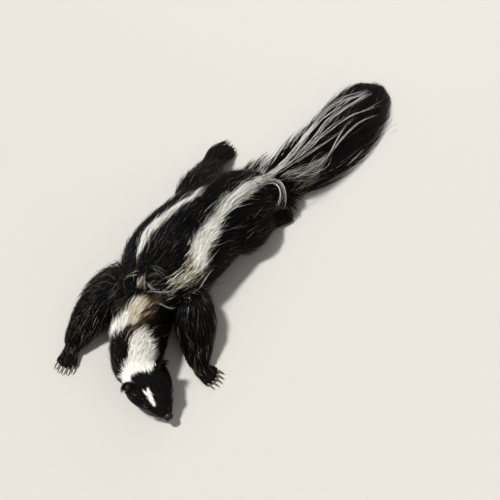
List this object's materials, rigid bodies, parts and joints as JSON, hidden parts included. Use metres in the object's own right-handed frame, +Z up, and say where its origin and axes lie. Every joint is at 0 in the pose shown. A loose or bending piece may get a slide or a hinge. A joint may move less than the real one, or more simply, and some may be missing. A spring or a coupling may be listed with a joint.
{
  "type": "striped skunk model",
  "caption": "Life-size still model of a striped skunk lying on its belly, legs spread, head bent to the left and tail stretched out.",
  "frame": {"origin": "floor level, under the middle of the whole animal's plan outline", "axes": "+X along the trunk towards the head end, +Y to the animal's left, +Z up"},
  "size_m": [0.6902, 0.258, 0.0843],
  "materials": {
    "black_fur": "glossy black guard hair",
    "white_fur": "soft off-white hair",
    "bare_skin": "dark bare skin of nose, paws and ears",
    "claw_horn": "pale horn",
    "eye": "wet dark eye"
  },
  "bodies": {
    "root": {"trunk": "black_fur", "neck": "white_fur", "head": "black_fur", "tail": "black_fur", "foreleg_right": "black_fur", "foreleg_left": "black_fur", "thigh_right": "black_fur", "thigh_left": "black_fur", "forepaw_right": "bare_skin", "forepaw_left": "bare_skin", "hindfoot_right": "bare_skin", "hindfoot_left": "bare_skin", "ear_left": "black_fur", "ear_right": "black_fur", "eye_left": "eye", "eye_right": "eye", "nose": "bare_skin"}
  },
  "joints": []
}
